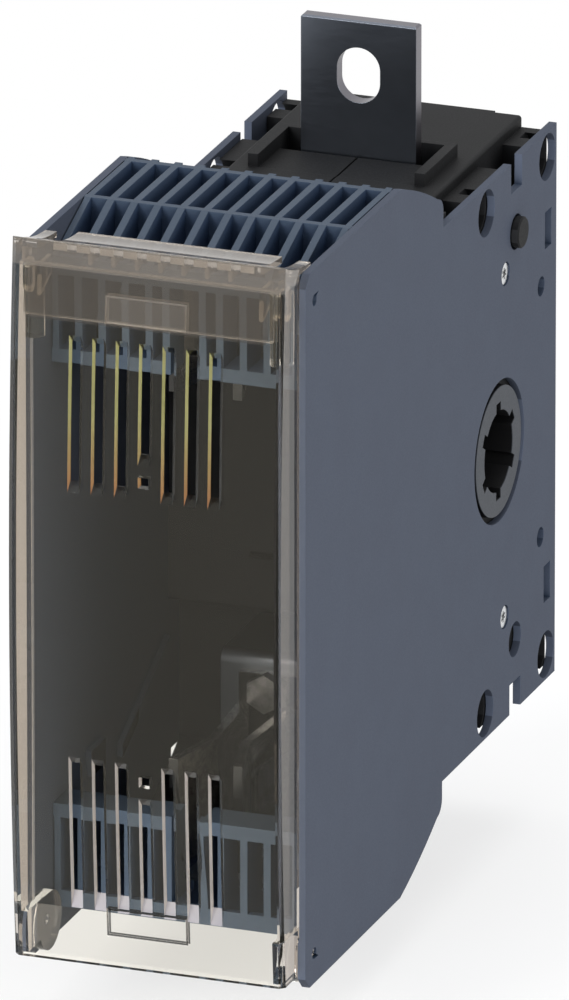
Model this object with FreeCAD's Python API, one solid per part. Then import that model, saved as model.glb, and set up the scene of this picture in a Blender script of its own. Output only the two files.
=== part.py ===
import FreeCAD, Part
import math
import os

# One pole of a fuse switch disconnector, in millimetres.
# Frame: x to the right with 0 midway between the side plates, z up with 0 on the drive axis,
# y to the back with 0 on the mounting face. "depth" below is measured forwards from that face,
# so depth = -y.

# Pole body
pole_width = 66.0
plate_t = 1.8
plate_front = 164.8
plate_half_height = 83.4
foot_half_height = 65.5
foot_depth = 75.4
shoulder_half_height = 71.0
shoulder_round = 3.2
shoulder_end = 103.0
slope_bulge = 0.7
front_chamfer = 2.8
notch_from = 23.2
notch_to = 30.5
notch_bottom = 58.4

# Drive through the pole
drive_depth = 37.8
drive_hub_r = 15.0
drive_window_r = 16.65
hub_recess = 0.2
hub_running_gap = 0.08
spline_bore_r = 9.45
spline_tip_r = 11.45
spline_tooth = 3.0
spline_count = 6
spline_depth = 13.0

# Openings in the side plates
tie_hole_r = 5.45
tie_hole_depths = (6.2, 46.8)
tie_hole_height = 59.35
tie_seat_r = 4.85
tie_seat_depth = 4.0
dowel_depth = 27.0
dowel_height = 48.5
dowel_hole_r = 4.1
dowel_r = 3.6
dowel_shank_r = 3.3
dowel_gap = 0.05
dowel_length = 12.0
dowel_proud = 1.8
dowel_collar_gap = 0.1
dowel_tip_gap = 0.3
dowel_chamfer = 0.3
screw_depth = 33.9
screw_height = 40.8
screw_head_r = 2.5
screw_shank_r = 1.6
screw_shank_gap = 0.05
screw_length = 10.0
screw_recess = 0.35
screw_window_gap = 0.25
screw_seat_gap = 0.02
screw_tip_gap = 1.5
star_r = 1.35
star_bar = 0.7
star_depth = 1.1
rivet_hole_r = 2.3
rivet_hole_depth = 10.1
rivet_hole_height = 29.9
catch_window_from = 3.3
catch_window_to = 7.7
catch_window_low = 37.8
catch_window_high = 46.6
catch_pocket_depth = 6.0
hook_depth = 159.0
hook_height = 76.3
hook_r = 1.35
hook_toe = 2.6
plate_rib_from = (79.5, 38.5)
plate_rib_to = (110.0, 53.9)
plate_rib_w = 3.0
plate_rib_h = 1.4
plate_stop_from = (121.0, 47.0)
plate_stop_to = (130.0, 53.0)

# Switch base, two half shells that meet at x = 0; pieces of one moulding overlap by merge
merge = 0.5
base_gap = 0.2
base_front = 70.4
base_nose_front = 77.7
base_nose_height = 29.5
base_top = 66.5
base_deck_x = 25.0
base_edge_round = 0.8
base_mount_x = 18.4
base_side_setback = 1.0
ledge_top = 63.8
ledge_bottom = 52.0
ledge_spans = ((1.0, 13.8), (30.0, 54.0))
rim_top = 69.5
rim_x = 20.9
rim_t = 2.4
rim_back = 32.2
rim_back_t = 1.8
rim_front = 54.0
pit_depth = 12.0
joint_groove_w = 0.25
joint_groove_h = 0.7
deck_sink = 0.2
lug_room = 0.3
bore_gap = 0.15
nose_round = 1.5
nose_slot_x = (6.0, 12.0)
nose_slot_z = (-16.8, -15.2)
nose_slot_depth = 1.5
bay_wall_run = 7.6
bay_wall_rise = 4.4
bay_wall_drop = 2.9
bay_wall_gap = 0.6
bay_wall_t = 2.2
chamber_sides = 16

# Terminals and the current path
lug_width = 27.3
lug_t = 3.5
lug_front = 39.4
lug_tip = 98.3
lug_hole_w = 10.2
lug_hole_h = 13.0
lug_hole_z = 85.5
lug_edge_break = 0.4
strap_low = 32.5
strap_t = 3.5
foot_back = 22.0
fork_w = 8.0
fork_span = 7.2
fork_offset = 10.6
fork_gap = 0.3
fork_reach = 19.0
fork_root_sink = 0.5
blade_t = 4.0
blade_r = 27.0
blade_root_r = 12.0
blade_turn = 30.0
blade_gap = 0.6
blade_seat_gap = 0.04
chamber_gap = 0.4
chamber_side_gap = 3.0
fuse_bar_width = 24.0
fuse_bar_front = 95.5
fuse_bar_land = 5.5
strap_bend_r = 2.8
bracket_top = 47.0

# Quenching plates beside the moving contact
quench_turns = (43.0, 52.0, 61.0, 70.0)
quench_t = 1.2
quench_inner = 29.2
quench_outer = 36.2
quench_half_width = 9.0
quench_notch = 5.0
quench_gap = 0.1

# Fuse contacts
jaw_gap = 5.5
jaw_t = 2.2
jaw_span = 25.0
jaw_headroom = 6.4
jaw_back_t = 2.5
jaw_reach = 40.0
jaw_touch = 24.8
jaw_root_gap = 9.0
jaw_mouth_gap = 13.0
jaw_back_half = 6.8
leaf_bend_r = 6.0
spring_t = 0.9
spring_seat = 0.12
spring_touch = 0.45
spring_bow = 1.6
spring_bow_at = 8.0
spring_lead = 6.4
spring_inset = 6.0
jaw_screw_r = 2.6
jaw_screw_gap = 0.08
jaw_screw_flats = 8.0
jaw_screw_head_h = 2.6
jaw_screw_offset = 2.9
jaw_back_margin = 1.0

# Ventilation grilles
grille_back = 102.6
grille_fold = 131.0
grille_front = 151.0
grille_nose = 76.0
grille_low = 51.8
grille_web = 9.0
grille_pitch = 5.5
grille_slots = 11
grille_rib = 1.7
grille_bar = 1.7
grille_overhang = 1.2
grille_side_gap = 0.35
grille_rail = 3.2
grille_nose_bar = 3.8
blade_slit = 6.8

# Fuse cover
cover_width = 63.4
cover_side_t = 1.6
cover_front_t = 2.0
cover_top = 88.8
cover_bottom = -79.3
cover_edge_front = 175.0
cover_bulge = 3.3
cover_corner = 1.2
cover_seat_gap = 0.4
cover_plate_gap = 0.3
lip_back = 154.2
lip_height = 83.7
lip_mid_depth = 165.0
lip_mid_height = 85.2
lip_t = 1.5
lip_tip = 0.6
lip_half_width = 23.7
lip_web_from = 158.0
lip_web_to = 166.0
lip_web_t = 0.9
lip_web_h = 3.0
apron_bottom = 82.6
apron_t = 3.6
ear_inner = 28.2
ear_back = 155.8
cheek_t = 2.2
cheek_top = -69.0
cheek_inset = 1.0
cheek_foot = 3.0
cheek_lift = 0.5
pivot_gap = 0.08
pivot_boss_r = 6.8
pivot_reach = 1.5
swing_relief_r = 8.4
slot_count = 7
slot_pitch = 5.44
slot_w = 2.7
slot_high = 67.9
slot_low = 31.9
slot_ramp = 2.0
slot_shift = 1.0
slot_long_ramp = 4.0
probe_size = 2.5
probe_height = 35.0
middle_slot_cut = 8.0
field_half = 9.5
field_low = 68.2
field_high = 74.8
field_shift = 3.1
field_line = 0.45
field_sink = 0.4
lip_vents = 9
lip_vent_w = 3.2
lip_vent_from = 166.2
lip_vent_to = 169.4
latch_low = 64.0
latch_high = 80.5
latch_r = 2.3
latch_stand = 0.6
latch_web_t = 1.6

# Derived places
jaw_high = plate_half_height - grille_web - jaw_headroom
jaw_low = jaw_high - jaw_span
jaw_screw_z = jaw_low - jaw_screw_offset
fuse_bar_top = jaw_high + fuse_bar_land
plate_inner = pole_width / 2 - plate_t
base_side = plate_inner - base_gap
hub_end = pole_width / 2 - hub_recess
lug_back = lug_front - lug_t
fork_root = strap_low + fork_root_sink
chamber_r = blade_r + blade_gap + chamber_gap
cover_half = cover_width / 2
pivot_r = hook_r - pivot_gap
cover_back = plate_front + cover_seat_gap
cheek_out = plate_inner - cover_plate_gap
grille_half = plate_inner - grille_side_gap


def at(x, depth, z):
    """A point given by its depth in front of the mounting face."""
    return FreeCAD.Vector(x, -depth, z)


def block(x0, x1, depth0, depth1, z0, z1):
    """A rectangular block between two depths."""
    return Part.makeBox(x1 - x0, depth1 - depth0, z1 - z0, at(x0, depth1, z0))


def rod(depth, z, radius, x0, x1):
    """A round bar along x."""
    return Part.makeCylinder(radius, x1 - x0, at(x0, depth, z), FreeCAD.Vector(1, 0, 0))


def along_y(z, radius, depth0, depth1):
    """A round bar along y in the middle plane."""
    return Part.makeCylinder(radius, depth1 - depth0, at(0, depth1, z), FreeCAD.Vector(0, 1, 0))


def side_profile(start, steps, x0, x1):
    """Extrude a closed outline in the depth-height plane from x0 to x1.

    A step is (depth, z) for a straight run or (depth, z, depth, z) for an arc through a point."""
    edges = []
    here = at(x0, *start)
    for step in list(steps) + [start]:
        there = at(x0, step[-2], step[-1])
        if len(step) == 4:
            edges.append(Part.Arc(here, at(x0, step[0], step[1]), there).toShape())
        elif there.distanceToPoint(here) > 1e-6:
            edges.append(Part.LineSegment(here, there).toShape())
        here = there
    face = Part.Face(Part.Wire(edges))
    return face.extrude(FreeCAD.Vector(x1 - x0, 0, 0))


def mirrored_x(shape):
    return shape.mirror(FreeCAD.Vector(0, 0, 0), FreeCAD.Vector(1, 0, 0))


def mirrored_z(shape):
    return shape.mirror(FreeCAD.Vector(0, 0, 0), FreeCAD.Vector(0, 0, 1))


def both_x(shape):
    return [shape, mirrored_x(shape)]


def joined(shapes):
    """One solid out of pieces that touch or overlap."""
    whole = shapes[0].fuse(shapes[1:]) if len(shapes) > 1 else shapes[0]
    return whole.removeSplitter()


def save(name, shape):
    shape.exportStep(os.path.join("parts", name + ".step"))


def plate_ribs():
    """The slanted rib and the stop on the inner face of the right side plate, above the drive axis."""
    x0 = plate_inner - plate_rib_h
    x1 = plate_inner + plate_t / 2
    (rib_back, rib_low), (rib_front, rib_high) = plate_rib_from, plate_rib_to
    half = plate_rib_w / 2
    rib = side_profile(
        (rib_back, rib_low - half),
        [(rib_back, rib_low + half), (rib_front, rib_high + half), (rib_front, rib_high - half)],
        x0,
        x1,
    )
    stop = block(x0, x1, plate_stop_from[0], plate_stop_to[0], plate_stop_from[1], plate_stop_to[1])
    return [rib, stop]


def side_plate():
    """The right side plate."""
    half = side_profile(
        (0.0, 0.0),
        [
            (0.0, foot_half_height),
            (notch_from, foot_half_height),
            (notch_from, notch_bottom),
            (notch_to, notch_bottom),
            (notch_to, foot_half_height),
            (foot_depth, foot_half_height),
            (foot_depth, shoulder_half_height - shoulder_round / 2),
            (
                foot_depth + shoulder_round * 0.25,
                shoulder_half_height + shoulder_round * 0.2,
                foot_depth + shoulder_round,
                shoulder_half_height + shoulder_round * 0.62,
            ),
            (
                (foot_depth + shoulder_round + shoulder_end) / 2,
                (shoulder_half_height + shoulder_round * 0.62 + plate_half_height) / 2 + slope_bulge,
                shoulder_end,
                plate_half_height,
            ),
            (plate_front - front_chamfer, plate_half_height),
            (plate_front, plate_half_height - front_chamfer),
            (plate_front, 0.0),
        ],
        plate_inner,
        pole_width / 2,
    )
    ribs = plate_ribs()
    plate = joined([half, mirrored_z(half)] + ribs + [mirrored_z(rib) for rib in ribs])
    x0 = plate_inner - 1
    x1 = pole_width / 2 + 1
    cuts = [rod(drive_depth, 0, drive_window_r, x0, x1)]
    for side in (-1, 1):
        for depth in tie_hole_depths:
            cuts.append(rod(depth, side * tie_hole_height, tie_hole_r, x0, x1))
        cuts.append(rod(dowel_depth, side * dowel_height, dowel_hole_r, x0, x1))
        cuts.append(rod(screw_depth, side * screw_height, screw_head_r + screw_window_gap, x0, x1))
        cuts.append(rod(rivet_hole_depth, side * rivet_hole_height, rivet_hole_r, x0, x1))
        cuts.append(rod(hook_depth, side * hook_height, hook_r, x0, x1))
        toe = side_profile(
            (hook_depth, side * hook_height),
            [
                (hook_depth - hook_toe, side * (hook_height + hook_r)),
                (hook_depth, side * (hook_height + hook_r)),
            ],
            x0,
            x1,
        )
        cuts.append(toe)
    cuts.append(block(x0, x1, catch_window_from, catch_window_to, catch_window_low, catch_window_high))
    cuts.append(block(x0, x1, catch_window_from, catch_window_to, -catch_window_high, -catch_window_low))
    return plate.cut(cuts)


def deck(half_top):
    """The upper deck of the right base half with its rim, pit and screw ledges."""
    pieces = []
    mount_block = block(0, base_mount_x, 0, base_front, 0, half_top)
    side_block = block(base_mount_x - merge, base_deck_x, base_side_setback, base_front, 0, half_top)
    pieces.append(joined([mount_block, side_block]))
    rounded = [
        edge
        for edge in pieces[0].Edges
        if abs(edge.BoundBox.XMin - base_deck_x) < 1e-4
        and abs(edge.BoundBox.XMax - base_deck_x) < 1e-4
        and abs(edge.BoundBox.ZMin - half_top) < 1e-4
    ]
    pieces[0] = pieces[0].makeFillet(base_edge_round, rounded)
    pieces.append(block(base_deck_x - merge, base_side, base_side_setback, base_front, 0, ledge_bottom))
    for depth0, depth1 in ledge_spans:
        pieces.append(block(base_deck_x - merge, base_side, depth0, depth1, ledge_bottom - merge, ledge_top))
    corner_back = base_front - bay_wall_t
    pieces.append(block(base_deck_x - merge, base_side, corner_back, base_front, ledge_bottom - merge, half_top))
    pieces.append(block(rim_x - rim_t, rim_x, rim_back, rim_front, half_top - merge, rim_top))
    pieces.append(block(0, rim_x, rim_back, rim_back + rim_back_t, half_top - merge, rim_top))
    return pieces


def fork_places():
    """Depth ranges of the two contact forks, behind and in front of the drive axis."""
    rear = drive_depth - fork_offset
    front = drive_depth + fork_offset
    return (rear - fork_span / 2, rear + fork_span / 2), (front - fork_span / 2, front + fork_span / 2)


def fork(span):
    """A contact fork that the moving blade passes through, open towards the drive axis."""
    body = block(-fork_w / 2, fork_w / 2, span[0], span[1], fork_reach, fork_root)
    slit = rod(drive_depth, 0, blade_r + blade_gap, -blade_t / 2 - fork_gap, blade_t / 2 + fork_gap)
    return body.cut(slit)


def quench_slab(turn, grow):
    """One quenching plate or, with grow, the slot that holds it."""
    slab = Part.makeBox(
        2 * (quench_half_width + grow),
        quench_t + 2 * grow,
        quench_outer - quench_inner + 2 * grow,
        FreeCAD.Vector(-quench_half_width - grow, -quench_t / 2 - grow, quench_inner - grow),
    )
    slab.rotate(FreeCAD.Vector(0, 0, 0), FreeCAD.Vector(1, 0, 0), turn)
    slab.translate(at(0, drive_depth, 0))
    return slab


def quench_plate(turn):
    """A quenching plate with the notch that lets the arc in."""
    notch = Part.makeBox(
        quench_notch,
        quench_t * 3,
        quench_notch,
        FreeCAD.Vector(-quench_notch / 2, -quench_t * 1.5, quench_inner - quench_notch / 2),
    )
    notch.rotate(FreeCAD.Vector(0, 0, 0), FreeCAD.Vector(1, 0, 0), turn)
    notch.translate(at(0, drive_depth, 0))
    return quench_slab(turn, 0).cut(notch)


def upper_pockets():
    """What the upper terminal, fuse bar and forks need inside the base."""
    rear, front = fork_places()
    gap = bore_gap
    low = strap_low - gap
    high = strap_low + strap_t + gap
    lug = lug_width / 2 + gap
    bar = fuse_bar_width / 2 + gap
    past_nose = fuse_bar_front + 10
    pockets = [
        block(-lug, lug, lug_back - gap, lug_front + gap, low, rim_top + 1),
        block(-lug, lug, foot_back - gap, lug_front, low, high),
        block(-bar, bar, front[0] - gap, past_nose, low, high),
    ]
    side = fork_w / 2 + gap
    for span in (rear, front):
        pockets.append(block(-side, side, span[0] - gap, span[1] + gap, fork_reach - gap, fork_root + gap))
    return pockets


def half_turned(shape):
    """The same shape turned half a turn about the drive axis."""
    turned = shape.copy()
    turned.rotate(at(0, drive_depth, 0), FreeCAD.Vector(1, 0, 0), 180)
    return turned


def bay_wall():
    """The sloped wall that closes the fuse bay above, from the base's front edge to the grille."""
    knee_depth = base_front + bay_wall_run
    knee_z = base_top + bay_wall_rise
    tip_depth = grille_back - bay_wall_gap
    tip_z = plate_half_height - bay_wall_drop
    return side_profile(
        (base_front - 1, base_top),
        [
            (base_front, base_top),
            (knee_depth, knee_z),
            (tip_depth, tip_z),
            (tip_depth, tip_z - bay_wall_t),
            (knee_depth, knee_z - bay_wall_t),
            (base_front, base_top - bay_wall_t),
            (base_front - 1, base_top - bay_wall_t),
        ],
        0,
        base_side,
    )


def blade_chamber():
    """The many-sided room in which the moving blades swing."""
    corner_r = chamber_r / math.cos(math.pi / chamber_sides)
    corners = []
    for index in range(chamber_sides + 1):
        turn = 2 * math.pi * index / chamber_sides
        corners.append(at(-1, drive_depth + corner_r * math.sin(turn), corner_r * math.cos(turn)))
    face = Part.Face(Part.makePolygon(corners))
    return face.extrude(FreeCAD.Vector(1 + blade_t / 2 + chamber_side_gap, 0, 0))


def base_half(dowel_z):
    """The right half shell of the switch base, with the bore for a dowel pin at a height."""
    upper = deck(base_top) + [bay_wall()]
    shell = joined(upper + [mirrored_z(piece) for piece in upper])
    nose = block(0, base_side, base_front - 1, base_nose_front, -base_nose_height, base_nose_height)
    nose = nose.makeFillet(
        nose_round,
        [
            edge
            for edge in nose.Edges
            if abs(edge.BoundBox.XMin - 0) < 1e-4 and abs(edge.BoundBox.XMax - base_side) < 1e-4
            and abs(edge.BoundBox.YMin + base_nose_front) < 1e-4
        ],
    )
    bracket_front = fuse_bar_front - lug_t - bore_gap
    bracket_low = strap_low + strap_t + bore_gap
    bracket = block(0, fuse_bar_width / 2, base_front - 1, bracket_front, bracket_low, bracket_top)
    shell = joined([shell, nose, bracket, mirrored_z(bracket)])
    cuts = [
        rod(drive_depth, 0, drive_hub_r + hub_running_gap, -1, base_side + 1),
        blade_chamber(),
        block(
            nose_slot_x[0],
            nose_slot_x[1],
            base_nose_front - nose_slot_depth,
            base_nose_front + 1,
            nose_slot_z[0],
            nose_slot_z[1],
        ),
    ]
    for pocket in upper_pockets():
        cuts.append(pocket)
        cuts.append(mirrored_z(pocket))
    for turn in quench_turns:
        slot = quench_slab(turn, quench_gap)
        cuts.append(slot)
        cuts.append(half_turned(slot))
    pit = block(
        -1, rim_x - rim_t, rim_back + rim_back_t, lug_front + 2 * lug_room, base_top - pit_depth, rim_top + 1
    )
    groove = block(-1, joint_groove_w, lug_front, base_front + 10, base_top - joint_groove_h, base_top + 1)
    sink = block(-1, rim_x - rim_t, lug_front + lug_room, rim_front, base_top - deck_sink, base_top + 1)
    for piece in (pit, groove, sink):
        cuts.append(piece)
        cuts.append(mirrored_z(piece))
    out = base_side + 1
    cuts.append(rod(dowel_depth, dowel_z, dowel_shank_r + dowel_gap, base_side - dowel_length, out))
    for side in (-1, 1):
        cuts.append(rod(screw_depth, side * screw_height, screw_shank_r, base_side - screw_length, out))
        for depth in tie_hole_depths:
            cuts.append(rod(depth, side * tie_hole_height, tie_seat_r, base_side - tie_seat_depth, out))
    window = block(
        base_side - catch_pocket_depth,
        base_side + 1,
        catch_window_from,
        catch_window_to,
        catch_window_low,
        catch_window_high,
    )
    cuts.append(window)
    cuts.append(mirrored_z(window))
    return shell.cut(cuts)


def terminal():
    """The upper terminal: flat lug with its slot, strap down into the base and rear fork."""
    rear = fork_places()[0]
    lug = block(-lug_width / 2, lug_width / 2, lug_back, lug_front, strap_low, lug_tip)
    tips = [
        edge
        for edge in lug.Edges
        if abs(edge.BoundBox.ZMin - lug_tip) < 1e-4 and abs(edge.BoundBox.ZMax - lug_tip) < 1e-4
    ]
    lug = lug.makeChamfer(lug_edge_break, tips)
    slot_r = lug_hole_w / 2
    rise = (lug_hole_h - lug_hole_w) / 2
    ends = [
        Part.makeCylinder(slot_r, lug_t + 2, at(0, lug_front + 1, lug_hole_z + step), FreeCAD.Vector(0, 1, 0))
        for step in (-rise, rise)
    ]
    middle_low = lug_hole_z - rise
    middle = block(-slot_r, slot_r, lug_back - 1, lug_front + 1, middle_low, middle_low + 2 * rise)
    foot = block(-lug_width / 2, lug_width / 2, foot_back, lug_front, strap_low, strap_low + strap_t)
    return joined([lug.cut(ends + [middle]), foot, fork(rear)])


def fuse_bar():
    """The bar from the front fork out to the fuse contact."""
    front = fork_places()[1]
    half = fuse_bar_width / 2
    strap = block(-half, half, front[0], fuse_bar_front, strap_low, strap_low + strap_t)
    upright = block(-half, half, fuse_bar_front - lug_t, fuse_bar_front, strap_low, fuse_bar_top)
    bar = joined([strap, upright, fork(front)])
    corner = [
        edge
        for edge in bar.Edges
        if abs(edge.BoundBox.YMin + fuse_bar_front) < 1e-4
        and abs(edge.BoundBox.YMax + fuse_bar_front) < 1e-4
        and abs(edge.BoundBox.ZMax - strap_low) < 1e-4
    ]
    bar = bar.makeFillet(strap_bend_r, corner)
    hole_r = jaw_screw_r - jaw_screw_gap
    return bar.cut(along_y(jaw_screw_z, hole_r, fuse_bar_front - lug_t - 1, fuse_bar_front + 1))


def leaf(line, thickness, z0, z1):
    """The right one of two sprung leaves: a line in the plan view, thickened outwards, its bends rounded."""
    outer = [(depth, x + thickness) for depth, x in reversed(line)]
    corners = [at(x, depth, z0) for depth, x in line + outer]
    prism = Part.Face(Part.makePolygon(corners + corners[:1])).extrude(FreeCAD.Vector(0, 0, z1 - z0))
    bends = [
        edge
        for edge in prism.Edges
        for depth, _ in line[1:-1]
        if abs(edge.BoundBox.YMin + depth) < 1e-4 and abs(edge.BoundBox.YMax + depth) < 1e-4
        and edge.BoundBox.ZLength > (z1 - z0) / 2
    ]
    return prism.makeFillet(leaf_bend_r, bends)


def jaw_line():
    """Inner line of the right contact leaf: root, touching line and mouth, each as depth and x."""
    seat = fuse_bar_front + jaw_back_t
    return [
        (seat - jaw_back_t / 5, jaw_root_gap / 2),
        (seat + jaw_touch, jaw_gap / 2),
        (seat + jaw_reach, jaw_mouth_gap / 2),
    ]


def fuse_contact():
    """The forked fuse contact: a back plate and two leaves that grip the fuse blade."""
    right = leaf(jaw_line(), jaw_t, jaw_low, jaw_high)
    front = fuse_bar_front + jaw_back_t
    back_low = jaw_screw_z - jaw_screw_offset - jaw_back_margin
    back = block(-jaw_back_half, jaw_back_half, fuse_bar_front, front, back_low, fuse_bar_top)
    hole = along_y(jaw_screw_z, jaw_screw_r, fuse_bar_front - 1, front + 1)
    return joined([back.cut(hole), right, mirrored_x(right)])


def contact_springs():
    """Two steel leaves that press the contact leaves together."""
    (_, root_x), (touch, touch_x), (mouth, mouth_x) = jaw_line()
    root = fuse_bar_front + jaw_back_t + spring_seat
    slope = (mouth_x - touch_x) / (mouth - touch)
    line = [
        (root, root_x + jaw_t + spring_seat),
        (root + spring_bow_at, root_x + jaw_t + spring_bow),
        (touch, touch_x + jaw_t + spring_touch),
        (touch + spring_lead, touch_x + slope * spring_lead + jaw_t + 2 * spring_touch),
    ]
    return both_x(leaf(line, spring_t, jaw_low + spring_inset, jaw_high - spring_inset))


def hexagon(z, flats, depth0, depth1):
    """A hexagonal bar along y in the middle plane, two of its flats upright."""
    corner = flats / math.sqrt(3)
    points = []
    for index in range(7):
        turn = math.radians(60 * index)
        points.append(at(corner * math.sin(turn), depth0, z + corner * math.cos(turn)))
    return Part.Face(Part.makePolygon(points)).extrude(at(0, depth1 - depth0, 0))


def jaw_screw():
    """The hexagon screw that holds a fuse contact to its bar."""
    seat = fuse_bar_front + jaw_back_t
    shank = along_y(jaw_screw_z, jaw_screw_r - 2 * jaw_screw_gap, fuse_bar_front - lug_t, seat)
    return joined([shank, hexagon(jaw_screw_z, jaw_screw_flats, seat, seat + jaw_screw_head_h)])


def drive_hub():
    """The drive drum with a splined socket in each end and slots for the moving blades."""
    drum = rod(drive_depth, 0, drive_hub_r, -hub_end, hub_end)
    blade_slot = block(
        -blade_t / 2 - blade_seat_gap,
        blade_t / 2 + blade_seat_gap,
        drive_depth - drive_hub_r,
        drive_depth + drive_hub_r,
        blade_root_r * math.cos(math.radians(blade_turn)) - blade_seat_gap,
        drive_hub_r + 1,
    )
    cuts = [blade_slot, mirrored_z(blade_slot)]
    for x0, x1 in ((hub_end - spline_depth, hub_end + 1), (-hub_end - 1, -hub_end + spline_depth)):
        cuts.append(rod(drive_depth, 0, spline_bore_r, x0, x1))
        for index in range(spline_count):
            tooth = Part.makeBox(
                x1 - x0,
                spline_tooth,
                spline_tip_r,
                FreeCAD.Vector(x0, -spline_tooth / 2, 0),
            )
            tooth.rotate(FreeCAD.Vector(0, 0, 0), FreeCAD.Vector(1, 0, 0), index * 360 / spline_count)
            tooth.translate(at(0, drive_depth, 0))
            cuts.append(tooth)
    return drum.cut(cuts)


def moving_blade():
    """The upper moving contact, a sector blade set in the drum."""
    def point(radius, turn):
        angle = math.radians(turn)
        return (drive_depth + radius * math.sin(angle), radius * math.cos(angle))

    low = blade_root_r * math.cos(math.radians(blade_turn))
    side = blade_root_r * math.sin(math.radians(blade_turn))
    return side_profile(
        (drive_depth - side, low),
        [
            point(blade_r, -blade_turn),
            point(blade_r, 0) + point(blade_r, blade_turn),
            (drive_depth + side, low),
        ],
        -blade_t / 2,
        blade_t / 2,
    )


def plate_screws():
    """The four short screws that hold the side plates to the base, with star sockets."""
    screws = []
    for z in (-screw_height, screw_height):
        face = pole_width / 2 - screw_recess
        head = rod(screw_depth, z, screw_head_r, base_side + screw_seat_gap, face)
        tip = base_side - screw_length + screw_tip_gap
        shank = rod(screw_depth, z, screw_shank_r - screw_shank_gap, tip, face - star_depth)
        screw = joined([head, shank])
        for index in range(3):
            corner = FreeCAD.Vector(face - star_depth, -star_bar / 2, -star_r)
            bar = Part.makeBox(star_depth + 1, star_bar, 2 * star_r, corner)
            bar.rotate(FreeCAD.Vector(0, 0, 0), FreeCAD.Vector(1, 0, 0), index * 60)
            bar.translate(at(0, screw_depth, z))
            screw = screw.cut(bar)
        screws += both_x(screw)
    return screws


def dowel(side, height):
    """A locating pin whose free end stands proud of one side plate; side is the sign of x."""
    tip_x = pole_width / 2 + dowel_proud
    collar_x = pole_width / 2 + dowel_collar_gap
    shank = rod(dowel_depth, height, dowel_shank_r, base_side - dowel_length + dowel_tip_gap, collar_x)
    head = rod(dowel_depth, height, dowel_r, collar_x, tip_x)
    tip = [edge for edge in head.Edges if abs(edge.BoundBox.XMin - tip_x) < 1e-4]
    pin = joined([shank, head.makeChamfer(dowel_chamfer, tip)])
    return pin if side > 0 else mirrored_x(pin)


def grille():
    """The upper grille: deep ribs on a folded outline, tied by cross bars."""
    inner_top = plate_half_height - grille_web
    inner_front = grille_front - grille_web
    fall = math.atan2(plate_half_height - grille_nose, grille_front - grille_fold)
    fold_in = grille_fold - grille_web * math.tan(fall / 2)
    nose_in = grille_nose - grille_web * math.tan((math.pi / 2 - fall) / 2)
    outline = [
        (grille_fold, plate_half_height),
        (grille_front, grille_nose),
        (grille_front, grille_low),
        (inner_front, grille_low),
        (inner_front, nose_in),
        (fold_in, inner_top),
        (grille_back, inner_top),
    ]
    pieces = []
    span = grille_slots * grille_pitch
    for index in range(grille_slots + 1):
        x = -span / 2 + index * grille_pitch
        x0 = max(x - grille_rib / 2, -grille_half)
        x1 = min(x + grille_rib / 2, grille_half)
        pieces.append(side_profile((grille_back, plate_half_height), outline, x0, x1))
    left = -span / 2 - grille_rib / 2
    right = -left
    rear = grille_back + grille_overhang
    pieces.append(block(left, right, rear, rear + grille_bar, inner_top, plate_half_height))
    pieces.append(block(left, right, grille_fold - grille_bar, grille_fold, inner_top, plate_half_height))
    nose_low = grille_nose - grille_nose_bar
    pieces.append(block(left, right, grille_front - grille_bar, grille_front, nose_low, grille_nose))
    pieces.append(block(left, right, inner_front, grille_front, grille_low, grille_low + grille_rail))
    half_slit = blade_slit / 2
    slit = block(-half_slit, half_slit, inner_front - 1, grille_front + 1, grille_low - 1, nose_low)
    edge = block(half_slit, half_slit + grille_rib, inner_front, grille_front, grille_low, nose_low)
    return joined([joined(pieces).cut(slit)] + both_x(edge))


def front_depth(z, inset):
    """Depth of the bowed front of the cover at a height."""
    middle = (cover_top + cover_bottom) / 2
    half = (cover_top - cover_bottom) / 2
    radius = (half * half + cover_bulge * cover_bulge) / (2 * cover_bulge)
    return cover_edge_front + cover_bulge - radius + math.sqrt(radius ** 2 - (z - middle) ** 2) - inset


def lip_circle():
    """Centre and radius of the hollow finger lip's circle in side view, through its three set points."""
    first = FreeCAD.Vector(lip_back, lip_height, 0)
    middle = FreeCAD.Vector(lip_mid_depth, lip_mid_height, 0)
    last = FreeCAD.Vector(cover_edge_front, cover_top, 0)
    arc = Part.Arc(first, middle, last).toShape().Curve
    return arc.Center.x, arc.Center.y, arc.Radius


def lip_arc_height(depth, below=0.0):
    """Height of the top wall's surface at a depth, or of its underside at a distance below it."""
    centre_depth, centre_z, radius = lip_circle()
    return centre_z - math.sqrt((radius + below) ** 2 - (depth - centre_depth) ** 2)


def lip_run(depth0, depth1, below=0.0):
    """The arc step of the top wall from one depth to another."""
    middle = (depth0 + depth1) / 2
    return (middle, lip_arc_height(middle, below), depth1, lip_arc_height(depth1, below))


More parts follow.
